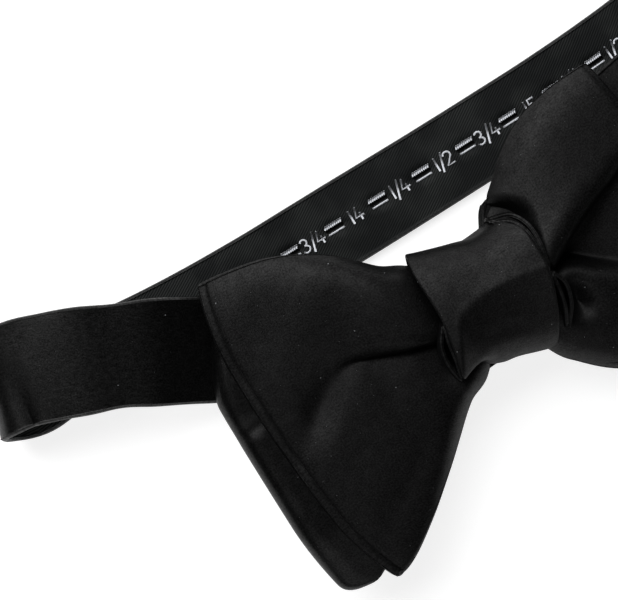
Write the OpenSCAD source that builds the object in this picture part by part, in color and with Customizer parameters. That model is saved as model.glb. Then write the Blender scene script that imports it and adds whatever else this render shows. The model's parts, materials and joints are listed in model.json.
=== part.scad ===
// Self-tie bow tie, tied and laid on its back with the neckband looped above the bow.
// +X runs along the bow, +Y towards the back of the neck, +Z out of the front of the knot.
// The origin is the middle of the knot's flat back. All sizes are in millimetres.

/* [Bow] */
// Reach of the flat front end from the middle of the knot
flat_reach = 51.5; // [48:0.5:53]
// Reach of the folded front loop from the middle of the knot
loop_reach = 45; // [42:0.5:48]
// Reach of both back wings from the middle of the knot
back_reach = 58.5; // [56:0.5:60]
// How far the middle of the flat front end stands out past its corners
flat_bow = 5; // [0:0.5:6]
// How far the middle of the other ends stands out past their corners
fold_bow = 2.5; // [0:0.5:3]
// Half of the height of the widest end
wing_half = 40.7; // [36:0.1:42]
// How far the two lobes of a wing puff up
puff = 3; // [1:0.1:3.5]

/* [Knot] */
// Width of the knot along the bow
knot_w = 26; // [25:0.5:28]
// Height of the knot across the bow
knot_h = 28.8; // [28:0.1:31]
// Depth of the knot from its back to its front
knot_d = 27; // [26.5:0.5:29]

/* [Neckband] */
// Half width of the band round the back of the neck
band_half = 10.1; // [9.6:0.1:10.3]
// Half width of the band beside the bow
strap_half = 11.7; // [11:0.1:11.9]
// Distance from the bow's axis to the middle of the band behind the neck
band_y = 32.7; // [32:0.1:34]
// Height of the band's curls at either side
curl_d = 11.5; // [11:0.1:12]
// Distance between two slots of the size tape
slot_pitch = 12; // [11.8:0.1:12.7]

/* [Fabric] */
// Thickness of a finished layer, two satins with interlining between
layer_t = 2.2; // [2:0.1:2.2]
// Thickness of the finished neckband
band_t = 2; // [1.8:0.1:2]
// Thickness of one satin
satin_t = 0.5; // [0.4:0.05:0.5]
// Thickness of the woven size tape
tape_t = 0.5; // [0.4:0.05:0.5]

/* [Fittings] */
// Radius of the ring's wire
ring_r = 0.9; // [0.8:0.05:0.9]
// Distance between the ring's two bars
ring_reach = 9; // [8.8:0.1:9.2]
// Half of the distance between the ring's two side wires
ring_half = 13.2; // [13:0.1:14]
// Radius of the hook's bar
hook_r = 0.8; // [0.7:0.05:0.8]

/* [Hidden] */

satin_black = [0.035, 0.035, 0.04];
core_grey = [0.3, 0.3, 0.29];
tape_black = [0.08, 0.085, 0.09];
thread_white = [0.92, 0.92, 0.9];
steel = [0.75, 0.75, 0.77];

air = 0.16;        // gap between a lining and the satin round it
running = 0.05;    // radial clearance of a wire in its fabric loop
mouth_x = 10.3;    // where a wing starts, inside the knot
leave_x = 13.6;    // where it comes out of the knot and starts to widen
core_x = 9.9;      // half length of the bundle inside the knot
knot_wall = 2.2;
up = [0, 0, 1];

// ---- sheets: a grid of points with a normal at each, made into a closed slab ----

function unit(v) = v / norm(v);
function last(v) = len(v) - 1;
function near(i, n) = min(max(i, 0), n);
function ease(t) = let (c = min(max(t, 0), 1)) c * c * (3 - 2 * c);

// Unit normals of a grid, along (next station) x (next point across)
function normals(g) = let (n = last(g), m = last(g[0])) [
  for (i = [0:n]) [
    for (j = [0:m]) unit(cross(
      g[near(i + 1, n)][j] - g[near(i - 1, n)][j],
      g[i][near(j + 1, m)] - g[i][near(j - 1, m)]))
  ]
];

function shifted(g, nrm, d) = [for (i = [0:last(g)]) [for (j = [0:last(g[0])]) g[i][j] + nrm[i][j] * d]];

// The grid again, its first and last rows and its side columns drawn in by shares of one cell
function inset(g, start, finish, side) = let (n = last(g), m = last(g[0])) [
  for (i = [0:n]) let (row = i == 0 ? mixed(g[0], g[1], start) : i == n ? mixed(g[n], g[n - 1], finish) : g[i]) [
    for (j = [0:m]) j == 0 ? row[0] + (row[1] - row[0]) * side
      : j == m ? row[m] + (row[m - 1] - row[m]) * side : row[j]
  ]
];
function mixed(p, q, t) = [for (j = [0:last(p)]) p[j] + (q[j] - p[j]) * t];

// Faces of the skin between a top grid and a bottom grid whose points start at number k
function skin(n, m, k) = let (w = m + 1, b = k + (n + 1) * w) [
  for (i = [0:n - 1], j = [0:m - 1]) let (p = i * w + j, q = p + w) each [
    [k + p, k + p + 1, k + q + 1], [k + p, k + q + 1, k + q], [b + p, b + q + 1, b + p + 1], [b + p, b + q, b + q + 1]
  ],
  for (i = [0:n - 1]) let (p = i * w, q = p + w, r = p + m, s = r + w) each [
    [b + p, k + p, k + q], [b + p, k + q, b + q], [b + s, k + s, k + r], [b + s, k + r, b + r]
  ]
];
function end_faces(n, m, k, i) = let (w = m + 1, b = k + (n + 1) * w) [
  for (j = [0:m - 1]) let (p = i * w + j, q = p + 1) each flipped(i > 0, [
    [b + q, k + q, k + p], [b + q, k + p, b + p]
  ])
];
function flipped(yes, faces) = yes ? [for (f = faces) [f[2], f[1], f[0]]] : faces;

// The ring of points round one end of a skin, and the faces between two such rings
function end_ring(n, m, k, i) = let (w = m + 1, b = k + (n + 1) * w)
  concat([for (j = [0:m]) k + i * w + j], [for (j = [m:-1:0]) b + i * w + j]);
function rim_faces(o, r, i) = let (c = len(o)) [
  for (a = [0:c - 1]) let (b = (a + 1) % c) each flipped(i > 0, [[o[a], r[a], r[b]], [o[a], r[b], o[b]]])
];

module closed(top, bottom) {
  n = last(top);
  m = last(top[0]);
  points = [each for (r = top) r, each for (r = bottom) r];
  polyhedron(points, concat(skin(n, m, 0), end_faces(n, m, 0, 0), end_faces(n, m, 0, n)));
}

module slab(g, low, high, end_in = 0, side_in = 0) {
  nrm = normals(g);
  closed(inset(shifted(g, nrm, high), end_in, end_in, side_in), inset(shifted(g, nrm, low), end_in, end_in, side_in));
}

// Satin on both faces and round the sides, open at its first end, and at its last too if through is set
module satin_case(g, t, through = false) {
  n = last(g);
  m = last(g[0]);
  nrm = normals(g);
  k = 2 * (n + 1) * (m + 1);
  far = through ? 0 : 0.12;
  grids = [
    shifted(g, nrm, t / 2), shifted(g, nrm, -t / 2),
    inset(shifted(g, nrm, t / 2 - satin_t), 0, far, 0.2), inset(shifted(g, nrm, satin_t - t / 2), 0, far, 0.2)
  ];
  outer_far = through ? rim_faces(end_ring(n, m, 0, n), end_ring(n, m, k, n), n) : end_faces(n, m, 0, n);
  inner_far = through ? [] : flipped(true, end_faces(n, m, k, n));
  polyhedron(
    [each for (grid = grids) [each for (r = grid) r]],
    concat(skin(n, m, 0), flipped(true, skin(n, m, k)), outer_far, inner_far,
      rim_faces(end_ring(n, m, 0, 0), end_ring(n, m, k, 0), 0))
  );
}

module lining(g, t) slab(g, -t / 2 + satin_t + air, t / 2 - satin_t - air, 0.25, 0.36);

// ---- wings: height profiles and layers ----

across = 8;        // cells across a wing
layer_gap = 4.3;   // from the middle of one layer to the middle of the next
cells = [for (j = [0:across]) 2 * j / across - 1];

flat_profile = [[10, 10.6], [leave_x, 11.2], [17, 17.5], [24, 24.5], [30, 29.5], [37, 34.3], [50, wing_half]];
loop_profile = [[10, 10.6], [leave_x, 11.2], [17, 19], [24, 26], [32, 29.5], [45, 33.5], [50, 35]];
back_profile = [[10, 10.4], [leave_x, 11], [20, 19], [30, 26], [45, 34], [60, wing_half - 2]];

function base_z(x) = 8 + 2.8 * ease((x - 12) / 40);
function lobes(x, w, reach) = puff * sin(180 * abs(w)) * sin(180 * min(max((x - 12) / (reach - 12), 0), 1));
function neck_rise(x) = 3 * (1 - ease((x - 12) / 18));
function bowed(x, w, bow) = x + bow * ease((x - leave_x) / 40) * (1 - w * w);
function wing_point(side, x, w, bow, profile, z) =
  [side * bowed(x, w, bow), side * w * lookup(min(x, 60), profile), z];

function wing_x(reach) = concat([mouth_x], [for (i = [0:5]) leave_x + (reach - leave_x) * i / 5]);

// A single layer from the knot to a square-cut end
function flat_wing(side, reach, bow, profile, z0, share, rise) = [
  for (x = wing_x(reach)) [
    for (w = cells) wing_point(side, x, w, bow, profile,
      base_z(x) + z0 + share * lobes(x, w, reach) + rise * neck_rise(x))
  ]
];

// Out along the upper layer, round the fold and back along the lower one
function looped_wing(side, reach, bow, profile, z0, share, rise) = let (r = layer_gap / 2, xs = wing_x(reach)) concat(
  [for (i = [0:last(xs) - 1]) [
    for (w = cells) wing_point(side, xs[i], w, bow, profile,
      base_z(xs[i]) + z0 + layer_gap + share * lobes(xs[i], w, reach) + rise * neck_rise(xs[i]))
  ]],
  [for (a = [0:45:180]) [
    for (w = cells) wing_point(side, reach + r * sin(a), w, bow, profile, base_z(reach) + z0 + r + r * cos(a))
  ]],
  [for (i = [last(xs) - 1:-1:0]) [
    for (w = cells) wing_point(side, xs[i], w, bow, profile,
      base_z(xs[i]) + z0 + 0.3 * share * lobes(xs[i], w, reach))
  ]]
);

front_flat_grid = flat_wing(-1, flat_reach, flat_bow, flat_profile, 2 * layer_gap, 1.2, 1);
front_loop_grid = looped_wing(1, loop_reach, fold_bow, loop_profile, layer_gap, 1, 1);
back_loop_grid = looped_wing(-1, back_reach, fold_bow, back_profile, 0, 0.7, 0);
back_flat_grid = flat_wing(1, back_reach, fold_bow, back_profile, 0, 0.25, 0);

module front_flat_end() color(satin_black) satin_case(front_flat_grid, layer_t);
module front_flat_end_interlining() color(core_grey) lining(front_flat_grid, layer_t);
module front_loop() color(satin_black) satin_case(front_loop_grid, layer_t);
module front_loop_interlining() color(core_grey) lining(front_loop_grid, layer_t);
module back_loop() color(satin_black) satin_case(back_loop_grid, layer_t);
module back_loop_interlining() color(core_grey) lining(back_loop_grid, layer_t);
module back_flat_end() color(satin_black) satin_case(back_flat_grid, layer_t);
module back_flat_end_interlining() color(core_grey) lining(back_flat_grid, layer_t);

// ---- knot: a sleeve wrapped round the bundle of gathered bands ----

module round_box(len_x, size_y, z_low, z_high, r) {
  half = size_y / 2 - r;
  rotate([90, 0, 90]) linear_extrude(len_x, center = true) hull() {
    for (y = [-half, half], z = [z_low + r, z_high - r]) translate([y, z]) circle(r, $fn = 32);
  }
}

module sleeve(len_x, skin_in, skin_out) {
  difference() {
    round_box(len_x, knot_h - 2 * skin_out, skin_out, knot_d - skin_out, 7 - skin_out);
    round_box(len_x + 2, knot_h - 2 * skin_in, skin_in, knot_d - skin_in, 7 - skin_in);
  }
}

module knot_wrap() color(satin_black) difference() {
  sleeve(knot_w, knot_wall, 0);
  sleeve(knot_w - 3, knot_wall - satin_t, satin_t);
}

module knot_wrap_interlining() color(core_grey)
  sleeve(knot_w - 4, knot_wall - satin_t - air, satin_t + air);

module knot_core() color(satin_black)
  round_box(2 * core_x, knot_h - 2 * knot_wall - 1, 5.9, knot_d - knot_wall - 0.4, 4);

// ---- neckband: stations of [middle, direction of the outer face, half width, tape slack] ----

band_z = band_t / 2;
curl_r = curl_d / 2;
left_curl_x = 100.2;
strap_z = band_z + curl_d;

slope = 24.7;                                   // of the right strap beside the ring
along = [cos(slope), sin(slope), 0];
ring_turn = 3.8;                                // radius of the strap's turn round the ring
right_curl_x = 101.3;
curl_y = 41.2;
ring_x = 74;                                    // the bar that the strap turns round
ring_bar = [ring_x, curl_y - 1.9 - (right_curl_x + 0.6 - ring_x) * tan(slope), 8];
tab_bar = ring_bar - ring_reach * along;        // the bar held by the right band
tail_l = 18;
tape_gap = 0.09;                                // between the band's satin and the tape
thread_gap = 0.15;                              // from the tape's face to the middle of its threads
hook_bar = ring_bar + [0, 0, -3] + (tail_l + 3.5) * along;
hook_at = 26.5;                                 // the hook's slot, from the ring along the strap
pocket = 2.4;                                   // slack in the tape over the hook's crossbar

// A half turn of the band, out and down, from one station's middle to another's
function curl(out, start, finish, steps) = [for (i = [0:steps]) let (a = 180 * i / steps) [
  start + (finish - start) * i / steps + out * curl_r * sin(a) + up * curl_r * (cos(a) - 1 + 2 * i / steps),
  out * sin(a) + up * cos(a), strap_half - (strap_half - band_half) * i / steps, 0
]];

near_left = [
  [[-3, -0.6, 4.2], up, 8.8, 0], [[-leave_x, 0.2, 4.3], up, 8.9, 0], [[-30, 8.2, 5], up, 11, 0],
  [[-45, 15.4, 6.1], up, strap_half, 0], [[-56, 21.6, 7.2], up, strap_half, 0],
  [[-66, 28, 8.8], up, strap_half, 0], [[-75, 33.4, 10.4], up, strap_half, 0],
  [[-86, 38.4, 12], up, strap_half, 0], [[-96, 41.2, 12.6], up, strap_half, 0]
];
left_curl = curl([-cos(15), sin(15), 0], [-left_curl_x, 42.4, strap_z], [-left_curl_x, curl_y, band_z], 6);
back_left = [for (p = [[-92, 5.9], [-80, 3.5], [-64, 1.5], [-44, 0.3], [-20, 0]])
  [[p[0], band_y + p[1], band_z], -up, band_half, 0]];
back_right = [for (i = [last(back_left):-1:0]) let (s = back_left[i])
  [[-s[0][0], s[0][1], s[0][2]], -up, band_half, 0]];
right_curl = let (c = curl([cos(18), sin(18), 0],
  [right_curl_x + 0.6, curl_y - 1.9, strap_z], [right_curl_x, curl_y, band_z], 6))
  [for (i = [6:-1:0]) [c[i][0], c[i][1], min(c[i][2], 10.8), 0]];
near_right = [for (p = [[hook_at + 1.9, pocket], [hook_at - 1.9, pocket], [hook_at - 5, 0], [12, 0]])
  [ring_bar + along * p[0] + up * (ring_turn + 0.022 * p[0]), up, 10.8, p[1]]];
ring_fold = [for (a = [0:30:180])
  [ring_bar + ring_turn * (up * cos(a) - along * sin(a)), up * cos(a) - along * sin(a), 10.6, 0]];
tail = [for (d = [tail_l / 2, tail_l]) [ring_bar - up * ring_turn + along * d, -up, band_half, 0]];

band = concat(near_left, left_curl, back_left, back_right, right_curl, near_right, ring_fold, tail);
tape_start = len(near_left);                    // the tape begins at the left curl
right_stations = [
  [[3, -0.6, 4.2], up, 8.8, 0], [[leave_x, 0.2, 4.3], up, 8.9, 0], [[30, 8.6, 5.6], up, 10.8, 0],
  [tab_bar - 16 * along - 0.4 * up, up, 11, 0], [tab_bar - 8.1 * along, up, 10.8, 0]
];

function heading(s, i) = unit(s[near(i + 1, last(s))][0] - s[near(i - 1, last(s))][0]);
function sideways(s, i) = unit(cross(s[i][1], heading(s, i)));
function ribbon(s) = [for (i = [0:last(s)]) [for (w = [-1:1]) s[i][0] + sideways(s, i) * w * s[i][2]]];

band_grid = ribbon(band);
right_grid = ribbon(right_stations);

// The tape keeps to the band's inner face, a little narrower, and lies slack over the hook
tape_low = [for (i = [tape_start:last(band)]) -band_t / 2 - tape_gap - band[i][3]];
tape_grid = inset(band_grid, 0, 0, 0.09);
tape_normals = normals(tape_grid);
function tape_face(drop) = [for (i = [tape_start:last(band)]) [
  for (j = [0:2]) tape_grid[i][j] + tape_normals[i][j] * (tape_low[i - tape_start] - drop)]];

// Length along the band to each station, and the frame at a length
function summed(v, i = 0, t = 0) = i > last(v) ? [] : concat([t + v[i]], summed(v, i + 1, t + v[i]));
reach = summed([for (i = [0:last(band)]) i == 0 ? 0 : norm(band[i][0] - band[i - 1][0])]);
function cell_at(s, i = 0) = i >= last(reach) - 1 || reach[i + 1] > s ? i : cell_at(s, i + 1);
ring_s = reach[len(band) - len(tail) - len(ring_fold)];
hook_s = ring_s - hook_at;
slots = [for (k = [-2:18]) hook_s - k * slot_pitch];
labels = [for (k = [-2:17]) hook_s - (k + 0.5) * slot_pitch];
function tape_drop(i, t) = band_t / 2 + tape_gap + band[i][3] * (1 - t) + band[i + 1][3] * t;

// Places its children on the tape: x along the band, y to its upper edge, z off its face
module on_tape(s) {
  i = cell_at(s);
  t = (s - reach[i]) / (reach[i + 1] - reach[i]);
  n = unit(band[i][1] * (1 - t) + band[i + 1][1] * t);
  d = unit(band[i + 1][0] - band[i][0]);
  y = -unit(cross(n, d));
  z = unit(cross(d, y));
  p = band[i][0] * (1 - t) + band[i + 1][0] * t + z * tape_drop(i, t);
  multmatrix([[d[0], y[0], z[0], p[0]], [d[1], y[1], z[1], p[1]], [d[2], y[2], z[2], p[2]], [0, 0, 0, 1]])
    children();
}

// Slots and labels are left off the tight turns
function straight(s) = let (i = cell_at(s)) norm(cross(band[i][1], band[i + 1][1])) < 0.1;

module left_band() color(satin_black) satin_case(band_grid, band_t, true);
module left_band_interlining() color(core_grey) lining(band_grid, band_t);

slot_l = 5;
slot_w = 1.3;
bar_w = 0.8;

module size_tape() color(tape_black) difference() {
  closed(tape_face(0), tape_face(tape_t));
  for (s = slots) if (straight(s)) on_tape(s) cube([slot_l, slot_w, 4 * tape_t], center = true);
}

module slot_bars() color(thread_white)
  for (s = slots, e = [-1, 1]) if (straight(s) && abs(s - hook_s) > 1) on_tape(s)
    translate([0, e * (slot_w + bar_w + 0.1) / 2, tape_t + thread_gap])
      cube([slot_l - 0.4, bar_w, 0.12], center = true);

module size_numerals() color(thread_white)
  for (s = labels) if (straight(s) && abs(s - hook_s) > slot_pitch) on_tape(s)
    translate([0, 0, tape_t + thread_gap]) cube([4.6, 3.4, 0.12], center = true);

module right_band() color(satin_black) satin_case(right_grid, band_t, true);
module right_band_interlining() color(core_grey) lining(right_grid, band_t);

// ---- fittings: local x runs along the strap, y across it ----

module fitting(at) translate(at) rotate([0, 0, slope]) children();

module upright(width) rotate([90, 0, 0]) linear_extrude(width, center = true) children();

module ring_tab() color(satin_black) fitting(tab_bar) upright(21) difference() {
  union() {
    circle(2.1, $fn = 48);
    translate([-8, -1]) square([8, 2]);
  }
  circle(ring_r + running, $fn = 48);
}

stitch_l = 1.7;
stitch_r = 0.14;
module stitch_row(count, gap) for (i = [0:count - 1])
  translate([0, (i - (count - 1) / 2) * gap, 0]) rotate([90, 0, 0])
    cylinder(stitch_l, stitch_r, stitch_r, center = true, $fn = 16);

module ring_tab_stitching() color(satin_black) fitting(tab_bar)
  for (x = [-6.6, -3.6], z = [-1, 1]) translate([x, 0, z * (1.02 + stitch_r)]) stitch_row(9, 2.2);

corner_r = 2.4;
module wire_corner(r) rotate_extrude(angle = 90, $fn = 48) translate([corner_r, 0]) circle(r, $fn = 32);

// A rounded wire rectangle from x = 0 to x = length, with its first bar on the local y axis
module slide_ring() color(steel) fitting(tab_bar) {
  bar = 2 * (ring_half - corner_r);
  for (x = [0, ring_reach]) translate([x, 0, 0]) rotate([90, 0, 0])
    cylinder(bar, ring_r, ring_r, center = true, $fn = 32);
  for (y = [-ring_half, ring_half]) translate([corner_r, y, 0]) rotate([0, 90, 0])
    cylinder(ring_reach - 2 * corner_r, ring_r, ring_r, $fn = 32);
  for (a = [0, 180]) translate([ring_reach / 2, 0, 0]) rotate([0, 0, a]) {
    translate([ring_reach / 2 - corner_r, ring_half - corner_r, 0]) wire_corner(ring_r);
    translate([corner_r - ring_reach / 2, ring_half - corner_r, 0]) rotate([0, 0, 90]) wire_corner(ring_r);
  }
}

module hook_tab() color(satin_black) fitting(hook_bar) upright(12) difference() {
  union() {
    circle(1.9, $fn = 48);
    translate([-3.4, -1.7]) square([3.4, 1.9]);
  }
  circle(hook_r + running, $fn = 48);
}

module hook_tab_stitching() color(satin_black) fitting(hook_bar)
  translate([-2.6, 0, 0.24 + stitch_r]) stitch_row(5, 2.2);

plate_t = 0.8;
hook_half = 7.6;
module t_hook() color(steel) fitting(hook_bar) {
  reach_x = hook_at - tail_l - 3.5;             // from the bar to the middle of the slot
  top_z = ring_bar[2] + ring_turn + 0.022 * hook_at - band_t / 2 - hook_bar[2] - pocket / 2;
  rotate([90, 0, 0]) cylinder(2 * hook_half, hook_r, hook_r, center = true, $fn = 32);
  for (y = [-hook_half, hook_half - 1.2]) translate([0, y, -plate_t / 2]) cube([reach_x + 1.2, 1.2, plate_t]);
  translate([reach_x - 1.2, -hook_half, -plate_t / 2]) cube([2.4, 2 * hook_half, plate_t]);
  translate([reach_x - 0.9, -0.4, 0]) cube([1.8, 0.8, top_z]);
  translate([reach_x - 0.9, -3, top_z - plate_t / 2]) cube([1.8, 6, plate_t]);
}

front_flat_end();
front_flat_end_interlining();
front_loop();
front_loop_interlining();
back_loop();
back_loop_interlining();
back_flat_end();
back_flat_end_interlining();
knot_wrap();
knot_wrap_interlining();
knot_core();
left_band();
left_band_interlining();
size_tape();
slot_bars();
size_numerals();
right_band();
right_band_interlining();
ring_tab();
ring_tab_stitching();
slide_ring();
hook_tab();
hook_tab_stitching();
t_hook();
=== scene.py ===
"""Looks of the tied satin bow tie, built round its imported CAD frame. Lengths here are in millimetres
until mesh_from() turns them into metres. +X runs along the bow, +Y to the back of the neck, +Z up."""

import json
import math

import bpy
import numpy as np
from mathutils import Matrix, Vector


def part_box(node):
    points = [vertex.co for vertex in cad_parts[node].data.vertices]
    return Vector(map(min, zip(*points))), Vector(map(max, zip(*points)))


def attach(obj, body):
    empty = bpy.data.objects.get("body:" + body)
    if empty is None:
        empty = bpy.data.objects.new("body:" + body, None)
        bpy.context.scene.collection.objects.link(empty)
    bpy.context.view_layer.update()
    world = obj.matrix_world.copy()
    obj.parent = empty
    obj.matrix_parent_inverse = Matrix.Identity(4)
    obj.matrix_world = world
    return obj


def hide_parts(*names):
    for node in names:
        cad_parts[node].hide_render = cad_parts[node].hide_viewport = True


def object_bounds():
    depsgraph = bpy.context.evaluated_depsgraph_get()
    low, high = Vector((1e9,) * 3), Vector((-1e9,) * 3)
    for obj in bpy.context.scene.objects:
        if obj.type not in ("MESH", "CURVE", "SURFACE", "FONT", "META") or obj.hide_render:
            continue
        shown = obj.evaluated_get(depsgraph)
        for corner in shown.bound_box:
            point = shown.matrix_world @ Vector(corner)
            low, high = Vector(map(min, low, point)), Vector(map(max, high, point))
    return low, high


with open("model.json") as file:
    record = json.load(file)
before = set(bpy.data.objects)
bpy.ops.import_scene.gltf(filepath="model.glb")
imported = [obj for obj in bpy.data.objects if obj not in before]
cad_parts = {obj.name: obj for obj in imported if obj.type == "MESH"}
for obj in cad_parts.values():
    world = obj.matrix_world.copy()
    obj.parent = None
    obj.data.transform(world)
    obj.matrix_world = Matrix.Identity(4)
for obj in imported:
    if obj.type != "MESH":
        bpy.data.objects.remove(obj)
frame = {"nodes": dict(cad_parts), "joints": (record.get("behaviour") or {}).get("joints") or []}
cad_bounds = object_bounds()

MM = 0.001
UP = np.array([0.0, 0.0, 1.0])


# ---- small mathematics ----

def box_mm(node):
    low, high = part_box(node)
    return np.array(low) / MM, np.array(high) / MM


def ease(t):
    t = np.clip(t, 0.0, 1.0)
    return t * t * (3 - 2 * t)


def hump(x, middle, width):
    return np.exp(-(((x - middle) / width) ** 2))


def through(x, *pairs):
    """A smooth curve through (x, value) pairs, level with its ends beyond them."""
    xs, ys = np.array(pairs, float).T
    slopes = np.gradient(ys, xs)
    x = np.clip(x, xs[0], xs[-1])
    i = np.clip(np.searchsorted(xs, x, side="right") - 1, 0, len(xs) - 2)
    h = xs[i + 1] - xs[i]
    u = (x - xs[i]) / h
    return (
        (2 * u**3 - 3 * u**2 + 1) * ys[i] + (u**3 - 2 * u**2 + u) * h * slopes[i]
        + (3 * u**2 - 2 * u**3) * ys[i + 1] + (u**3 - u**2) * h * slopes[i + 1]
    )


def unit(v):
    return v / np.maximum(np.linalg.norm(v, axis=-1, keepdims=True), 1e-9)


def grid_normals(g):
    return unit(np.cross(np.gradient(g, axis=0), np.gradient(g, axis=1)))


# ---- meshes ----

def mesh_from(name, points, faces, uv, material, body="tie", subdivide=1):
    """points in mm, uv in metres for each point; the object rides its body."""
    mesh = bpy.data.meshes.new(name)
    mesh.from_pydata([tuple(p * MM) for p in points], [], faces)
    mesh.polygons.foreach_set("use_smooth", [True] * len(mesh.polygons))
    layer = mesh.uv_layers.new(name="UVMap")
    corners = np.zeros(len(mesh.loops), np.int32)
    mesh.loops.foreach_get("vertex_index", corners)
    layer.data.foreach_set("uv", np.asarray(uv, np.float32)[corners].ravel())
    mesh.materials.append(material)
    mesh.validate()
    obj = bpy.data.objects.new(name, mesh)
    bpy.context.scene.collection.objects.link(obj)
    if subdivide:
        smooth = obj.modifiers.new("rounding", "SUBSURF")
        smooth.levels = smooth.render_levels = subdivide
    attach(obj, body)
    return obj


def arc_uv(g):
    """Lengths along and across a grid, in metres, so that a weave keeps its scale."""
    n, m = g.shape[:2]
    middle = g[:, m // 2]
    along = np.concatenate([[0], np.cumsum(np.linalg.norm(np.diff(middle, axis=0), axis=1))])
    across = np.concatenate(
        [np.zeros((n, 1)), np.cumsum(np.linalg.norm(np.diff(g, axis=1), axis=2), axis=1)], axis=1
    )
    across -= across[:, m // 2:m // 2 + 1]
    return np.stack([np.repeat(along[:, None], m, axis=1), across], axis=2) * MM


SOFT_RIM = [(0.5, 0.0)]                                        # (outwards, up) in thicknesses
SEAMED_RIM = [(0.34, 0.34), (0.42, 0.16), (0.16, 0.0), (0.42, -0.16), (0.34, -0.34)]


def slab(name, g, thickness, material, rim=SOFT_RIM, holes=None, **more):
    """A closed sheet round a grid: two faces, and a rounded or seamed rim round all four sides."""
    n, m = g.shape[:2]
    t = np.broadcast_to(thickness, (n, m))[..., None]
    nrm = grid_normals(g)
    uv = arc_uv(g)
    loop = (
        [(0, j) for j in range(m)] + [(i, m - 1) for i in range(1, n)]
        + [(n - 1, j) for j in range(m - 2, -1, -1)] + [(i, 0) for i in range(n - 2, 0, -1)]
    )
    points = [g + nrm * t / 2, g - nrm * t / 2]
    cloud = [p.reshape(-1, 3) for p in points]
    coords = [uv.reshape(-1, 2)] * 2
    rows, cols = np.array(loop).T
    inward_i = np.clip(rows, 1, n - 2)
    inward_j = np.clip(cols, 1, m - 2)
    out = unit(g[rows, cols] - g[inward_i, inward_j])
    for outwards, up in rim:
        cloud.append(g[rows, cols] + out * t[rows, cols] * outwards + nrm[rows, cols] * t[rows, cols] * up)
        coords.append(uv[rows, cols])
    bottom = n * m
    faces = []
    cut = holes if holes is not None else np.zeros((n - 1, m - 1), bool)
    for i in range(n - 1):
        for j in range(m - 1):
            a, b, c, d = i * m + j, i * m + j + 1, (i + 1) * m + j + 1, (i + 1) * m + j
            if not cut[i, j]:
                faces += [(a, d, c, b)[::-1], (bottom + a, bottom + b, bottom + c, bottom + d)[::-1]]
                continue
            for p, q, k, l in ((a, b, i - 1, j), (b, c, i, j + 1), (c, d, i + 1, j), (d, a, i, j - 1)):
                if not cut[k, l]:
                    faces.append((p, q, bottom + q, bottom + p))
    count = len(loop)
    strips = [[i * m + j for i, j in loop]]
    start = 2 * n * m
    for k in range(len(rim)):
        strips.append(list(range(start + k * count, start + (k + 1) * count)))
    strips.append([bottom + i * m + j for i, j in loop])
    for upper, lower in zip(strips, strips[1:]):
        for a in range(count):
            b = (a + 1) % count
            faces.append((upper[a], lower[a], lower[b], upper[b])[::-1])
    return mesh_from(name, np.concatenate(cloud), faces, np.concatenate(coords), material, **more)


# ---- materials ----

class Nodes:
    """A material's node tree, with short calls for the nodes that the finishes share."""

    def __init__(self, name):
        self.material = bpy.data.materials.new(name)
        self.material.use_nodes = True
        self.tree = self.material.node_tree
        self.tree.nodes.clear()
        self.shader = self.add("ShaderNodeBsdfPrincipled")
        out = self.add("ShaderNodeOutputMaterial")
        self.link(self.shader.outputs[0], out.inputs["Surface"])

    def add(self, kind, **values):
        node = self.tree.nodes.new(kind)
        for key, value in values.items():
            setattr(node, key, value)
        return node

    def link(self, a, b):
        self.tree.links.new(a, b)

    def set(self, **values):
        for key, value in values.items():
            self.shader.inputs[key.replace("_", " ")].default_value = value

    def place(self, source="UV", turn=0.0, stretch=(1, 1, 1)):
        coords = self.add("ShaderNodeTexCoord")
        mapping = self.add("ShaderNodeMapping")
        mapping.inputs["Rotation"].default_value = (0, 0, turn)
        mapping.inputs["Scale"].default_value = stretch
        self.link(coords.outputs[source], mapping.inputs["Vector"])
        return mapping.outputs[0]

    def noise(self, at, scale, detail=3.0, rough=0.6):
        node = self.add("ShaderNodeTexNoise")
        node.inputs["Scale"].default_value = scale
        node.inputs["Detail"].default_value = detail
        node.inputs["Roughness"].default_value = rough
        self.link(at, node.inputs["Vector"])
        return node.outputs["Fac"]

    def wave(self, at, pitch, distortion=0.0):
        """Straight threads along the second coordinate, one each pitch metres."""
        node = self.add("ShaderNodeTexWave", wave_type="BANDS", bands_direction="X")
        node.inputs["Scale"].default_value = 2 * math.pi / 20 / pitch
        node.inputs["Distortion"].default_value = distortion
        node.inputs["Detail"].default_value = 1.0
        self.link(at, node.inputs["Vector"])
        return node.outputs["Fac"]

    def ramp(self, value, low, high, a, b):
        node = self.add("ShaderNodeMapRange")
        for key, number in (("From Min", low), ("From Max", high), ("To Min", a), ("To Max", b)):
            node.inputs[key].default_value = number
        self.link(value, node.inputs["Value"])
        return node.outputs[0]

    def maths(self, operation, a, b):
        node = self.add("ShaderNodeMath", operation=operation)
        for socket, value in zip(node.inputs, (a, b)):
            if isinstance(value, (int, float)):
                socket.default_value = value
            else:
                self.link(value, socket)
        return node.outputs[0]

    def colour(self, share, a, b):
        node = self.add("ShaderNodeMix", data_type="RGBA")
        node.inputs["A"].default_value = (*a, 1)
        node.inputs["B"].default_value = (*b, 1)
        self.link(share, node.inputs["Factor"])
        return node.outputs["Result"]

    def bump(self, height, strength, distance, before=None):
        node = self.add("ShaderNodeBump")
        node.inputs["Strength"].default_value = strength
        node.inputs["Distance"].default_value = distance
        self.link(height, node.inputs["Height"])
        if before is not None:
            self.link(before, node.inputs["Normal"])
        return node.outputs[0]


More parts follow.
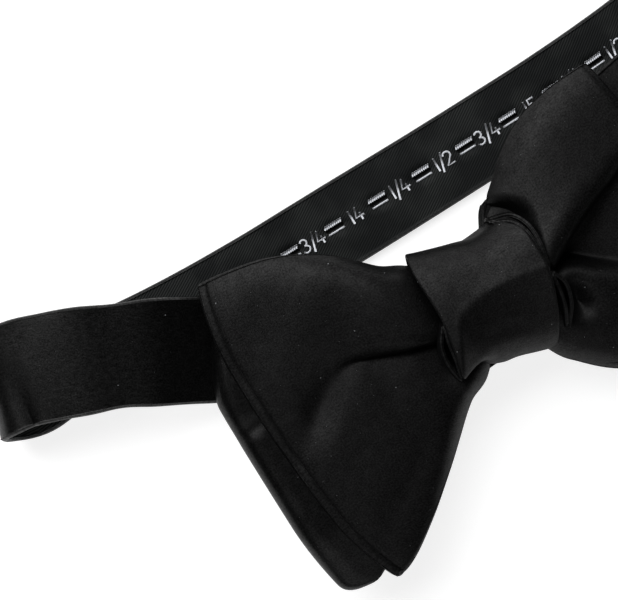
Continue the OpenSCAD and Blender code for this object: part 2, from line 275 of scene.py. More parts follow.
def specks(nodes, at, spacing, radius, share):
    """Lint: a dot in some of the cells of a Voronoi pattern."""
    cell = nodes.add("ShaderNodeTexVoronoi", voronoi_dimensions="2D")
    cell.inputs["Scale"].default_value = 1 / spacing
    nodes.link(at, cell.inputs["Vector"])
    near = nodes.maths("LESS_THAN", cell.outputs["Distance"], radius / spacing)
    chosen = nodes.add("ShaderNodeSeparateColor")
    nodes.link(cell.outputs["Color"], chosen.inputs[0])
    return nodes.maths("MULTIPLY", near, nodes.maths("LESS_THAN", chosen.outputs[0], share))


def satin(name="satin_black", shine=0.50, lint=0.3, dark=0.0010, light=0.0037, gloss=1.0):
    n = Nodes(name)
    at = n.place()
    grain = n.noise(at, 2600, detail=4)
    streaks = n.noise(n.place(stretch=(0.5, 1, 1)), 1300, detail=3)
    lint_share = n.maths("MAXIMUM", specks(n, at, 0.012, 0.00012, lint), specks(n, at, 0.0042, 0.00005, lint))
    tone = n.colour(n.ramp(grain, 0.42, 0.6, 0, 1), (dark, dark, 1.03 * dark), (light, light, 1.02 * light))
    mix = n.add("ShaderNodeMix", data_type="RGBA")
    mix.inputs["B"].default_value = (0.16, 0.165, 0.17, 1)
    n.link(lint_share, mix.inputs["Factor"])
    n.link(tone, mix.inputs["A"])
    n.link(mix.outputs["Result"], n.shader.inputs["Base Color"])
    n.link(n.ramp(streaks, 0.3, 0.7, shine - 0.05, shine + 0.07), n.shader.inputs["Roughness"])
    sparkle = n.ramp(grain, 0.38, 0.64, 0.08 * gloss, 0.19 * gloss)
    glints = n.maths("ADD", sparkle, n.ramp(n.noise(at, 420), 0.3, 0.7, -0.02, 0.04))
    edge = n.add("ShaderNodeLayerWeight")
    edge.inputs["Blend"].default_value = 0.5
    dull = n.ramp(edge.outputs["Facing"], 0.35, 0.85, 1.0, 0.15)       # less gloss at a grazing angle
    n.link(n.maths("MULTIPLY", glints, dull), n.shader.inputs["Specular IOR Level"])
    n.set(Anisotropic=0.2, Sheen_Weight=0.004, Sheen_Roughness=0.4)
    n.set(Sheen_Tint=(0.8, 0.82, 0.86, 1))
    threads = n.bump(n.wave(n.place(turn=math.pi / 2), 0.00022, 1.5), 0.10, 0.00004)
    fine = n.bump(grain, 0.22, 0.00010, threads)
    n.link(n.bump(n.noise(at, 160, detail=2), 0.12, 0.0004, fine), n.shader.inputs["Normal"])
    return n.material


def twill(name="tape_twill", slant=math.radians(33), pitch=0.00056):
    n = Nodes(name)
    ribs = n.wave(n.place(turn=math.pi / 2 - slant), pitch, 0.6)
    at = n.place()
    patches = n.ramp(n.noise(at, 90, detail=2), 0.42, 0.6, 0.25, 1)
    raised = n.maths("MULTIPLY", ribs, patches)
    tone = n.colour(raised, (0.0040, 0.0046, 0.0050), (0.0230, 0.0250, 0.0240))
    n.link(tone, n.shader.inputs["Base Color"])
    n.set(Roughness=0.62, Specular_IOR_Level=0.10, Sheen_Weight=0.006, Sheen_Roughness=0.5)
    weft = n.bump(n.wave(n.place(), 0.0003, 0.5), 0.15, 0.00005)
    n.link(n.bump(ribs, 0.5, 0.00012, weft), n.shader.inputs["Normal"])
    return n.material


def thread(name, light, dark, pitch=0.00034, slant=0.6):
    n = Nodes(name)
    ply = n.wave(n.place("Object", turn=slant), pitch, 1.0)
    n.link(n.colour(n.maths("MULTIPLY", ply, n.noise(n.place("Object"), 2200)), dark, light),
           n.shader.inputs["Base Color"])
    n.set(Roughness=0.6, Sheen_Weight=0.2)
    n.link(n.bump(ply, 0.6, 0.00008), n.shader.inputs["Normal"])
    return n.material


def wool(name="interlining_wool"):
    n = Nodes(name)
    at = n.place("Object")
    n.link(n.colour(n.noise(at, 1200), (0.55, 0.53, 0.47), (0.78, 0.76, 0.70)), n.shader.inputs["Base Color"])
    n.set(Roughness=0.95, Sheen_Weight=0.3)
    n.link(n.bump(n.noise(at, 1800, detail=5), 0.7, 0.0002), n.shader.inputs["Normal"])
    return n.material


def nickel(name="polished_nickel"):
    n = Nodes(name)
    at = n.place("Object")
    scuffs = n.noise(n.place("Object", stretch=(1, 6, 1)), 500, detail=5)
    n.link(n.colour(n.noise(at, 60), (0.60, 0.585, 0.55), (0.74, 0.73, 0.70)), n.shader.inputs["Base Color"])
    n.set(Metallic=1.0)
    n.link(n.ramp(scuffs, 0.3, 0.75, 0.14, 0.34), n.shader.inputs["Roughness"])
    n.link(n.bump(scuffs, 0.08, 0.00003), n.shader.inputs["Normal"])
    return n.material


SATIN = satin()
# The neckband and its tabs: the wings' satin with a darker base colour, which is painted shade.
BAND_SATIN_PAINTED_SHADE = satin("satin_band_painted_shade", shine=0.34, lint=0.12, dark=0.0003, light=0.0016, gloss=2.0)
# The back loop: the wings' satin with a darker base colour, which is painted shade.
LOOP_SATIN_PAINTED_SHADE = satin("satin_loop_painted_shade", shine=0.34, lint=0.12, dark=0.0003, light=0.0016, gloss=1.4)
TWILL = twill()
WHITE = thread("woven_white", (0.92, 0.93, 0.96), (0.55, 0.57, 0.62))
BLACK_THREAD = thread("sewing_black", (0.035, 0.035, 0.037), (0.008, 0.008, 0.008), pitch=0.0005)
WOOL = wool()
NICKEL = nickel()


# ---- fabric pieces: satin, with its interlining inside ----

LINING_T = 0.4


def fabric(name, node, g, thickness, flat, held, rests_on, material=SATIN, slot="satin", **more):
    """The satin piece that stands for a CAD node, which it hides; its cut size in mm (flat) is not used."""
    obj = slab(name, g, thickness, material, **more)
    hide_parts(node)
    return obj


def lining(node, g):
    """The interlining of a piece: the same sheet, thinner and drawn in from its edges."""
    inner = g[:, 2:-2][1:-2]
    piece = slab(node.replace("interlining", "wool"), inner, LINING_T, WOOL, subdivide=0)
    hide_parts(node)
    return piece


# ---- wings ----

WING_T = 2.0
ROWS, COLUMNS = 76, 81
t_rows = np.linspace(0, 1, ROWS)[:, None]
w_cells = np.linspace(-1, 1, COLUMNS)[None, :]


def spread(share, mouth, reach):
    """Rows closer together near the knot, where the folds are tight."""
    return mouth + (reach - mouth) * share ** 1.25


def lip_wave(d, lip, under):
    """Height share across a fold edge at d = 0: full on the positive side, down to 0 on the other."""
    return 1 / (1 + np.exp(-d / np.where(d > 0, lip, under)))


def front_left_wing():
    low, _ = box_mm("front_flat_end")
    reach = -low[0]
    corner = reach - 5.2
    w = w_cells
    end = corner + (reach - 0.2 - corner) * (1 - np.abs(w - 0.32) ** 2.2 / 1.84)
    end = end - 2.6 * np.clip((w - 0.4) / 0.6, 0, 1) ** 2 - 2.2 * np.clip((-0.6 - w) / 0.4, 0, 1) ** 1.5
    share = t_rows - 0.07 * np.sin(2 * math.pi * t_rows)      # rows closer together at both ends
    x = spread(share, 6.0, end)
    h_top = through(x, (6, 9), (9, 13.2), (12, 15.6), (17, 18.6), (20, 21.6), (24, 25.6), (30, 29.8),
                    (37, 33.2), (43, 34.8), (50, 36.0), (58, 36.8))
    h_low = through(x, (6, 12), (9, 14.6), (14.5, 17.1), (17, 19.0), (21, 22.3), (27.6, 27.8),
                    (36.6, 34.8), (46, 40.6), (58, 42.4))
    h = np.where(w > 0, h_top, h_low)
    v = w * h
    valley = through(x, (6, -1), (12, -0.9), (19, 1.0), (27, 3.2), (34, 4.4), (40, 2.6), (46, -0.6), (58, -4))
    lip = through(x, (6, 0.6), (24, 0.8), (32, 1.6), (40, 3.4), (58, 6))
    under = through(x, (6, 1.6), (24, 2.2), (32, 3.4), (40, 5.0), (58, 7))
    step = through(x, (6, 1.5), (12, 3.4), (28, 2.8), (36, 1.4), (46, 0))
    groove = through(x, (6, 2.0), (12, 3.2), (24, 2.8), (32, 1.7), (40, 0.7), (48, 0))
    d = v - valley
    wall = np.exp(-(np.abs(d) / np.where(d > 0, lip, under)) ** 1.3)
    up_share = np.clip(d / np.maximum(h - valley, 1), 0, 1)
    low_share = np.clip(-d / np.maximum(h + valley, 1), 0, 1)
    rise = through(x, (6, 15.0), (10, 17.0), (14, 19.2), (19, 20.6), (30, 20.4), (44, 18.9), (50, 18.0),
                   (58, 15.8))
    z = rise + step * (lip_wave(d, 0.4 * lip, 0.5 * under) - 0.5) - 1.15 * groove * wall
    z = z - 1.6 * up_share ** 3 - 1.0 * low_share ** 5
    z = z - np.abs(w) ** 10 * through(x, (6, 3), (14, 5.5), (30, 2.8), (50, 1.2), (58, 1.0))
    z = z - 1.9 * hump(x + 0.9 * (v - 1.5), 42, 5.6) * hump(v, -0.5, 7.5)
    z = z + 2.6 * hump(x, 12, 4) * hump(v, -13.5, 4)
    z = z + 0.35 * hump(share, 0.992, 0.008) - 0.3 * hump(share, 0.975, 0.008)
    z = z - 0.9 * hump(v, -0.74 * h, 0.10 * h) * ease((x - 24) / 14) * ease((56 - x) / 12)
    v = v - 1.5 * hump(d, 0.7, 1.0) * ease((34 - x) / 14) * ease((x - 9) / 4)
    ripple = 0.28 * np.sin(x / 4.1 + v / 7.0) * np.sin(v / 5.3 + 0.7) * ease((x - 16) / 14)
    return np.stack([-x, v, z + ripple], axis=2)


def front_right_upper(x, w, h):
    """Height and sideways shift of the folded loop's upper layer."""
    v = w * h
    edge = through(x, (4, -1.5), (13, -1.6), (15, -0.6), (21, 2.6), (30, 6.9), (39, 10.2), (48, 12.5))
    rim = through(x, (4, -1.6), (15, -2.2), (20, -2.8), (25, -6.6), (30, -10.5), (40, -16), (48, -18))
    near_knot = through(v, (-3, 13.2), (3, 15.4), (8, 17.4), (12, 18.4), (16, 16.2), (19, 12.0))
    out = ease((x - near_knot) / 2.6 + 0.5)
    up = lip_wave(v - edge, 0.5, 0.45)
    down = lip_wave(rim - v, 0.9, 0.9)
    fade = 1 - (1 - np.clip((v - edge) / np.maximum(h - edge, 1), 0, 1)) ** 1.4
    low_fade = np.clip((rim - v) / np.maximum(h + rim, 1), 0, 1)
    base = through(x, (4, 10), (12, 10.5), (20, 11.5), (30, 13.5), (48, 16.5))
    height = through(x, (4, 10), (14, 12.5), (20, 11.0), (30, 7.6), (40, 4.6), (48, 2.6))
    low_height = through(x, (4, 6), (10, 9.0), (16, 8.5), (26, 5.6), (48, 2.0))
    slope = through(x, (4, 0.6), (16, 0.6), (32, 0.34), (48, 0.2))
    z = base + up * height * (1 - slope * fade) * (0.25 + 0.75 * out)
    z = z + down * low_height * (1 - 0.75 * low_fade ** 2.0)
    bowl = hump(v, -10.5, 4.0) * hump(x, 17.6, 3.0)
    z = z - 4.2 * bowl - np.abs(w) ** 10 * through(x, (4, 1), (14, 3.4), (48, 1.8))
    shift = -1.6 * hump(v - edge, 0.6, 1.5) * ease((x - 12) / 5) * ease((46 - x) / 10)
    return z, shift


def front_right_wing():
    _, high = box_mm("front_loop")
    reach = high[0] - 3.0
    w = w_cells
    end = reach - 2.4 * np.abs(w) ** 2.2
    x = spread(t_rows, 4.0, end)
    h_top = through(x, (4, 9), (8, 12.5), (11, 17.2), (14, 19.3), (17, 21.8), (21, 25.4), (25, 28.2),
                    (29, 30.2), (35, 31.8), (48, 32.8))
    h_low = through(x, (4, 9), (7, 15.5), (9, 19.5), (12, 23), (18, 28.6), (26, 32), (36, 34), (48, 35))
    h = np.where(w > 0, h_top, h_low)
    z, shift = front_right_upper(x, w, h)
    upper = np.stack([x, w * h + shift, z], axis=2)
    last = upper[-1]
    under_z = 12.0
    fold = []
    for a in np.linspace(0, math.pi, 9)[1:-1]:
        middle = (last[:, 2] + under_z) / 2
        radius = (last[:, 2] - under_z) / 2
        fold.append(np.stack([last[:, 0] + 1.5 * np.sin(a), last[:, 1], middle + radius * np.cos(a)], axis=1))
    back = upper[::-3].copy()
    back[..., 2] = under_z - 1.2 * (1 - ease((back[..., 0] - 10) / 20))
    back[..., 1] *= 0.985
    return np.concatenate([upper, np.array(fold), back])


def back_left_wing():
    low, _ = box_mm("back_loop")
    reach = -low[0] - 1.0
    w = w_cells
    recede = 15.0 * np.clip((w - 0.26) / 0.74, 0, 1) ** 1.25
    end = reach - 4.0 - recede - 2.2 * np.abs(w + 0.25) ** 3 - 4.0 * np.clip((-0.9 - w) / 0.1, 0, 1) ** 2
    end = end - 1.8 * np.clip((-0.5 - w) / 0.5, 0, 1) ** 1.5
    x = spread(t_rows, 10.3, end)
    h = through(x, (8, 9.5), (13.6, 11.5), (20, 18), (30, 26), (40, 33.5), (50, 39.0), (62, 43.6))
    v = w * h
    dent = 0.7 * hump(v, 3.5, 2.6) * hump(x, 60, 5)
    z_up = 13.0 + 1.6 * ease((x - 12) / 40) + 1.4 * np.cos(1.3 * w) - dent
    z_up = z_up - 2.2 * np.abs(w) ** 4 + 0.35 * np.sin(v / 3.3 + x / 6) * ease((x - end + 16) / 12)
    upper = np.stack([-x, v, np.minimum(z_up, 15.6)], axis=2)
    last = upper[-1]
    under = 8.2 + 0.6 * w[0] ** 2
    fold = []
    for a in np.linspace(0, math.pi, 13)[1:-1]:
        middle = (last[:, 2] + under) / 2
        radius = (last[:, 2] - under) / 2
        swell = 4.0 * np.sin(a) ** 0.9
        fold.append(np.stack([last[:, 0] - swell, last[:, 1], middle + radius * np.cos(a)], axis=1))
    back = upper[::-3].copy()
    back[..., 2] = under[None, :]
    return np.concatenate([upper, np.array(fold), back])


def back_right_wing():
    _, high = box_mm("back_flat_end")
    reach = high[0] - 0.4
    w = w_cells
    end = reach - 1.4 - 2.2 * np.abs(w) ** 2
    x = spread(t_rows, 10.3, end)
    h = through(x, (8, 9.5), (13.6, 11.2), (20, 18), (30, 24.5), (40, 27.5), (50, 29.5), (62, 31.5))
    v = np.where(w > 0, w * h, w * h * 1.16)
    z = 8.4 + 1.8 * ease((x - 14) / 36) + 1.0 * np.sin(math.pi * np.abs(w)) * ease((x - 12) / 12)
    return np.stack([x, v, z + 0.25 * np.sin(x / 5 + v / 8)], axis=2)


def flip(g):
    """Rows the other way across, so that a left wing's outer face is up."""
    return g[:, ::-1]


front_left = flip(front_left_wing())
fabric("bow_front_flat_end", "front_flat_end", front_left, WING_T, (84, 52), "gathered",
       ["knot", "bow_back_loop"], rim=SEAMED_RIM)
lining("front_flat_end_interlining", front_left)

front_right = front_right_wing()
fabric("bow_front_loop", "front_loop", front_right, WING_T, (72, 96), "folded", ["knot", "bow_back_flat_end"])
lining("front_loop_interlining", front_right)

back_left = flip(back_left_wing())
fabric("bow_back_loop", "back_loop", back_left, WING_T, (84, 108), "folded", ["knot", "neckband_left"],
       material=LOOP_SATIN_PAINTED_SHADE)
lining("back_loop_interlining", back_left)

back_right = back_right_wing()
fabric("bow_back_flat_end", "back_flat_end", back_right, WING_T, (70, 52), "gathered",
       ["knot", "neckband_right"], rim=SEAMED_RIM)
lining("back_flat_end_interlining", back_right)


# ---- knot ----

def knot_ring(y_half, z_low, z_high, count=96, power=2.7):
    """Round the bundle, from the middle of the back: y, z and how far to the front, -1 to 1."""
    a = np.linspace(0, 2 * math.pi, count, endpoint=False) - math.pi / 2
    c, s = np.cos(a), np.sin(a)
    p = np.where(s > 0, power, 4.5)
    r = (np.abs(c) ** p + np.abs(s) ** p) ** (-1 / p)
    middle, half = (z_low + z_high) / 2, (z_high - z_low) / 2
    return y_half * r * c, middle + half * r * s, s


def knot_crest(x):
    """The wrap's ridge: level across the knot, then down beside its left edge."""
    return through(x, (-13, -10), (-11, -6.0), (-8.5, -1.0), (-5, 0.6), (4, 1.2), (14, -0.9))


KNOT_BACK = 10.6                                               # half the width of the wrap's back
DIVE = 4.6                                                     # how deep the wrap's lower left runs in
HEM_R = 0.45


def hem_turn(turn):
    """Outwards and inwards shifts of the wrap's turned edge, part of a half turn round it."""
    a = math.pi * turn
    return HEM_R * math.sin(a), -0.35 + 2 * HEM_R * (1 - math.cos(a))


def knot():
    """The wrap's rows: its face from right to left, its left hem, its inside, and its right hem."""
    low, high = box_mm("knot_wrap")
    y0, z0, s = knot_ring((high[1] - low[1]) / 2, low[2] + 0.2, high[2] - 0.1)
    half = (high[1] - low[1]) / 2
    front = ease((s + 0.25) / 0.5)
    left = through(y0, (-14.4, -12.4), (-10, -13.7), (-6, -12.8), (-2, -11.8), (2, -11.1), (7, -11.0),
                   (11, -10.8), (14.4, -9.6))
    right = through(y0, (-14.4, 8.4), (-7.3, 11.8), (-1.5, 13.8), (6, 14.3), (10.4, 13.9), (12.6, 12.2),
                    (14.4, 10.2))
    left = left * front - KNOT_BACK * (1 - front)
    right = right * front + KNOT_BACK * (1 - front)
    tuck = ease((-y0 - 9.5) / 3.5) * front                    # where the wrap runs on into the wing
    inwards = unit(np.stack([0 * y0, -y0, (low[2] + high[2]) / 2 - z0], axis=1))
    rows = []

    def row(x, depth):
        top = through(x, (-12, 18.4), (-9.3, 18.0), (0, 15.6), (6, 13.8), (10, 14.2), (15, 14.2)) / half
        bottom = through(x, (-15, 17.4), (-8, 15.6), (-2, 15.4), (6, 17.4), (15, 18.2)) / half
        y = y0 * (1 + front * (np.where(y0 > 0, top, bottom) - 1))
        off = y - knot_crest(x)
        roof = np.where(off > 0, 0.09, 0.31) * (np.sqrt(off**2 + 0.15) - 0.39) - 0.22 * hump(off, 0.7, 1.0)
        points = np.stack([x, y, z0 - roof * front], axis=1)
        rows.append(points + inwards * depth[:, None])

    zero = np.zeros_like(y0)
    for share in np.linspace(0, 1, 33):                      # the face, right to left
        x = right + (left - right) * share
        sides = 0.35 * (2 * share - 1) ** 6
        sag = 0.5 * hump(y0, 6.5, 3.2) * math.sin(math.pi * share) ** 2 * front
        ends = ease((share - 0.1) / 0.3) * ease((0.75 - share) / 0.3)
        line = 0.35 * hump(y0, -8.5 + 3 * share, 1.2) * ends * front
        dive = DIVE * tuck * ease((share - 0.5) / 0.5)
        row(x, zero + 0.5 * math.sin(math.pi * share) - sides + sag + line + dive)
    for out, depth in map(hem_turn, (0.3, 0.65)):            # the turned left edge
        row(left - out, zero + depth + DIVE * tuck)
    row(left + 1.2, zero + 2.0 + 3.8 * tuck)
    row(left + 4.6, zero + 2.9 + 2.4 * tuck)
    row(left + 7.0, zero + 3.0)
    row(right - 6.0, zero + 3.0)
    row(right - 1.6, zero + 2.2)
    for out, depth in map(hem_turn, (0.65, 0.3)):            # the turned right edge
        row(right + out, zero + depth)
    return np.array(rows)


HEM_T = 0.85


def hem_fold(name, outer, inner, width):
    """A fold of the wrap's hem standing on edge, seen from above as a hollow leaf between two lines."""
    there = through(np.linspace(0, 1, 27), *((i / (len(outer) - 1), i) for i in range(len(outer))))

    def line_of(points):
        k = np.arange(len(points))
        return np.stack([through(there, *zip(k, [p[a] for p in points])) for a in range(3)], axis=1)

    one, two = line_of(outer), line_of(inner)[::-1]
    path = np.concatenate([one, two[1:-1], one[:1]])
    drop = np.linspace(0, 1, 5)[None, :, None]
    middle = (one[len(one) // 2] + two[len(two) // 2]) / 2
    away = unit((path - middle) * np.array([1, 1, 0]))
    flare = away[:, None, :] * np.array([0.0, 0.25, 0.4, 0.4, 0.2])[None, :, None]
    g = path[:, None, :] - UP * width * drop + flare
    return slab(name, g, HEM_T, SATIN)


def closed_ring(name, rows, material, **more):
    """A closed skin whose rows and columns both come round to where they start."""
    n, m = rows.shape[:2]
    faces = [
        (i * m + j, i * m + (j + 1) % m, (i + 1) % n * m + (j + 1) % m, (i + 1) % n * m + j)
        for i in range(n) for j in range(m)
    ]
    return mesh_from(name, rows.reshape(-1, 3), faces, arc_uv(rows).reshape(-1, 2), material, **more)


knot_rows = knot()
knot_piece = closed_ring("knot", knot_rows, SATIN)
hem_folds = [
    hem_fold("knot_fold_left",
             [(-11.8, 0.6, 24.4), (-14.3, -3.0, 24.3), (-15.1, -7.4, 23.6), (-14.6, -11.6, 22.4)],
             [(-11.6, 0.0, 24.6), (-12.6, -3.2, 24.8), (-13.2, -7.0, 24.2), (-14.2, -11.4, 22.6)], 5.0),
    hem_fold("knot_fold_right",
             [(15.0, -2.2, 23.8), (16.2, -5.8, 23.2), (15.1, -10.4, 21.8), (12.4, -14.6, 19.2)],
             [(14.6, -2.6, 24.0), (14.2, -6.6, 23.8), (13.3, -10.8, 22.2), (11.8, -14.6, 19.4)], 4.6),
    hem_fold("knot_fold_top",
             [(9.8, 14.9, 18.6), (14.2, 13.4, 20.4), (16.1, 9.6, 22.6), (15.9, 4.6, 24.0),
              (14.6, -1.2, 24.6)],
             [(10.4, 13.8, 19.0), (13.4, 12.0, 20.8), (14.9, 8.8, 22.9), (15.0, 4.4, 24.3),
              (14.2, -0.8, 24.8)], 4.0),
]
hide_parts("knot_wrap")


def wrap_wool():
    """The wrap's interlining: a sleeve round the bundle, drawn in from the wrap."""
    low, high = box_mm("knot_wrap_interlining")
    y_half, z_low, z_high, x_half = high[1] - 3.6, low[2] + 1.2, high[2] - 2.4, 6.5
    rows = []
    for inset, xs in ((0, np.linspace(x_half, -x_half, 6)), (LINING_T, np.linspace(-x_half, x_half, 6))):
        y, z, _ = knot_ring(y_half - inset, z_low + inset, z_high - inset, 64)
        rows += [np.stack([np.full_like(y, x), y, z], axis=1) for x in xs]
    piece = closed_ring("knot_wrap_wool", np.array(rows), WOOL, subdivide=0)
    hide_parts("knot_wrap_interlining")


wrap_wool()


def gathers():
    """The gathered bands inside the knot: one soft bundle with pleats along it."""
    low, high = box_mm("knot_core")
    count, pleat_count = 72, 9
    y, z, _ = knot_ring((high[1] - low[1]) / 2 - 0.4, low[2] + 0.3, high[2] - 0.5, count)
    a = np.arange(count) / count * 2 * math.pi
    pleats = 1 - 0.045 * (1 + np.cos(pleat_count * a)) / 2
    middle = (low[2] + high[2]) / 2
    rows = []
    for x in np.linspace(low[0], high[0], 11):
        size = pleats * (1 - 0.10 * math.cos(math.pi * x / (high[0] - low[0])))
        rows.append(np.stack([np.full_like(y, x), y * size, middle + (z - middle) * size], axis=1))
    n, m = len(rows), len(y)
    points = np.concatenate(rows)
    faces = [(i * m + j, i * m + (j + 1) % m, (i + 1) * m + (j + 1) % m, (i + 1) * m + j)[::-1]
             for i in range(n - 1) for j in range(m)]
    faces += [tuple(range(m)), tuple(range((n - 1) * m, n * m))[::-1]]
    piece = mesh_from("gathers", points, faces, arc_uv(np.array(rows)).reshape(-1, 2), SATIN, subdivide=0)
    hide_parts("knot_core")


gathers()


# ---- neckband: stations of [middle, direction of the outer face, half width, tape slack] ----

joints = {j["name"]: j for j in frame["joints"]}
TAB_BAR = np.array(joints["ring_swing"]["pos_m"]) / MM
HOOK_BAR = np.array(joints["hook_swing"]["pos_m"]) / MM
AXIS = unit(np.array(joints["ring_swing"]["axis"]))
ALONG = np.array([AXIS[1], -AXIS[0], 0.0])
RING_REACH, RING_TURN, TAIL_L = 9.0, 3.8, 18.0
RING_BAR = TAB_BAR + RING_REACH * ALONG
HOOK_AT, POCKET = 26.5, 2.4
BAND_HALF, STRAP_HALF, FAR_HALF = 10.1, 11.7, 10.8
BAND_Z, CURL_R = 1.0, 5.75
STRAP_Z = BAND_Z + 2 * CURL_R
CURL_Y = 41.2
LEFT_CURL_X, RIGHT_CURL_X = 100.2, 101.3
BAND_T = 1.9


def station(x, y, z, normal=UP, half=BAND_HALF, slack=0.0):
    return [x, y, z, *normal, half, slack]


def curl(degrees, side, start, finish, steps=8):
    """A half turn of the band, out and down."""
    a = math.radians(degrees)
    out = np.array([side * math.cos(a), math.sin(a), 0])
    rows = []
    for i in range(steps + 1):
        t = i / steps
        turn = math.pi * t
        p = start + (finish - start) * t + out * CURL_R * math.sin(turn)
        p = p + UP * CURL_R * (math.cos(turn) - 1 + 2 * t)
        half = STRAP_HALF - (STRAP_HALF - BAND_HALF) * t
        rows.append(station(*p, out * math.sin(turn) + UP * math.cos(turn), half))
    return rows


def band_stations():
    """Stations of the left band from the knot, round both curls, through the ring and back."""
    near_left = [
        station(x, y, z, UP, half)
        for x, y, z, half in (
            (-3, -0.6, 4.2, 8.8), (-13.6, 0.2, 4.3, 9.4), (-30, 8.2, 4.8, 11.2), (-45, 15.4, 4.9, STRAP_HALF),
            (-53, 19.8, 5.0, STRAP_HALF), (-58, 22.7, 6.4, STRAP_HALF), (-64, 26.3, 9.4, STRAP_HALF),
            (-70, 29.7, 12.1, STRAP_HALF), (-77, 33.2, 13.5, 11.2), (-84, 36.3, 14.5, STRAP_HALF),
            (-91, 39.1, 14.1, STRAP_HALF))
    ]
    left = curl(15, -1, np.array([-LEFT_CURL_X, 41.8, STRAP_Z]), np.array([-LEFT_CURL_X - 1.4, 37.6, BAND_Z]))
    lift = ((92, 5.9), (80, 3.5), (64, 1.5), (44, 0.3), (20, 0))
    far = [station(-x, 32.0 + 0.9 * y, BAND_Z, -UP, 9.5) for x, y in lift]
    far += [station(x, 31.9 + y, BAND_Z, -UP, 9.3) for x, y in reversed(lift)]
    right = curl(18, 1, np.array([RIGHT_CURL_X + 0.6, CURL_Y - 1.9, STRAP_Z]),
                 np.array([RIGHT_CURL_X, CURL_Y, BAND_Z]))[::-1]
    for row in right:
        row[6] = min(row[6], FAR_HALF)
    near_right = [
        station(*(RING_BAR + ALONG * d + UP * (RING_TURN + 0.022 * d)), UP, FAR_HALF, slack)
        for d, slack in ((HOOK_AT + 1.9, POCKET), (HOOK_AT - 1.9, POCKET), (HOOK_AT - 6, 0), (12, 0))
    ]
    fold = []
    for a in np.radians(np.arange(0, 181, 22.5)):
        out = UP * math.cos(a) - ALONG * math.sin(a)
        fold.append(station(*(RING_BAR + RING_TURN * out), out, 10.6))
    tail = [station(*(RING_BAR - UP * RING_TURN + ALONG * d), -UP) for d in (TAIL_L / 2, TAIL_L)]
    return np.array(near_left + left + far + right + near_right + fold + tail), len(near_left)


def resample(rows, start, end, step=2.0):
    """The stations from start to end (counts of stations), on a smooth curve, about step mm apart."""
    reach = np.concatenate([[0], np.cumsum(np.linalg.norm(np.diff(rows[:, :3], axis=0), axis=1))])
    count = max(4, int((reach[end] - reach[start]) / step))
    s = np.linspace(reach[start], reach[end], count)
    return at_length(rows, reach, s), s, reach


def at_length(rows, reach, s):
    out = np.stack([through(s, *zip(reach, rows[:, k])) for k in range(rows.shape[1])], axis=-1)
    out[..., 3:6] = unit(out[..., 3:6])
    return out


def frames(rows):
    heading = unit(np.gradient(rows[:, :3], axis=0))
    side = unit(np.cross(rows[:, 3:6], heading))
    return heading, side


def ribbon(rows, cells, crown=0.0, offset=0.0, share=1.0):
    """A band's grid: across its width, crowned, or lifted off towards its outer face."""
    _, side = frames(rows)
    nrm = rows[:, None, 3:6]
    lift = offset + crown * (1 - cells[None, :, None] ** 2)
    across = cells[None, :, None] * rows[:, None, 6:7] * share
    return rows[:, None, :3] + side[:, None] * across + nrm * lift


BAND_STEP, SAG = 1.6, 0.15                                     # SAG: how low a pucker may hang
stations, tape_start = band_stations()
band_rows, band_s, band_reach = resample(stations, 0, len(stations) - 1, BAND_STEP)
band_cells = np.array([-1, -0.97, -0.9, -0.7, -0.35, 0, 0.35, 0.7, 0.9, 0.97, 1.0])
band_grid = ribbon(band_rows, band_cells, crown=0.12)
puckers = 0.10 * np.sin(band_s / 2.3)[:, None] * np.abs(band_cells[None, :]) ** 6
band_grid = band_grid + band_rows[:, None, 3:6] * puckers[..., None]
band_grid[..., 2] = np.maximum(band_grid[..., 2], BAND_Z - SAG)
fabric("neckband_left", "left_band", band_grid, BAND_T, (24, 412), "folded", ["knot", "slide_ring"],
       material=BAND_SATIN_PAINTED_SHADE)
lining("left_band_interlining", band_grid)

right_rows = np.array([
    station(3, -0.6, 4.2, UP, 8.8), station(13.6, 0.2, 4.3, UP, 8.9), station(30, 8.6, 5.6, UP, 10.8),
    station(*(TAB_BAR - 16 * ALONG - 0.4 * UP), UP, 11), station(*(TAB_BAR - 8.1 * ALONG), UP, 10.8),
])
right_path, _, _ = resample(right_rows, 0, len(right_rows) - 1, BAND_STEP)
right_grid = ribbon(right_path, band_cells, crown=0.1)
fabric("neckband_right", "right_band", right_grid, BAND_T, (22.4, 60), "laid", ["knot", "ring_tab_loop"],
       material=BAND_SATIN_PAINTED_SHADE)
lining("right_band_interlining", right_grid)


# ---- size tape: twill, with slots, woven bars and numerals ----

SLOT_PITCH, SLOT_L, SLOT_W, TAPE_T = 12.0, 4.6, 0.75, 0.34
TAPE_SHARE = 0.985
TAPE_LIFT = BAND_T / 2 + 0.13 + TAPE_T / 2                      # 0.13 clears the band's puckers


def length_at(point):
    """How far along the band its middle passes closest to a point."""
    s = np.linspace(band_reach[tape_start], band_reach[-1], 4000)
    p = at_length(stations, band_reach, s)[:, :3]
    return s[np.argmin(np.linalg.norm(p - point, axis=1))]


hook_top = RING_BAR + ALONG * HOOK_AT + UP * RING_TURN
hook_s = length_at(hook_top)
slot_lengths = [hook_s - k * SLOT_PITCH for k in range(-2, 19)]
label_lengths = [hook_s - (k + 0.5) * SLOT_PITCH for k in range(-2, 18)]


def is_straight(s):
    a, b = at_length(stations, band_reach, np.array([s - 3.0, s + 3.0]))[:, 3:6]
    return np.linalg.norm(np.cross(a, b)) < 0.12


slot_lengths = [s for s in slot_lengths if is_straight(s)]
label_lengths = [s for s in label_lengths if is_straight(s)]


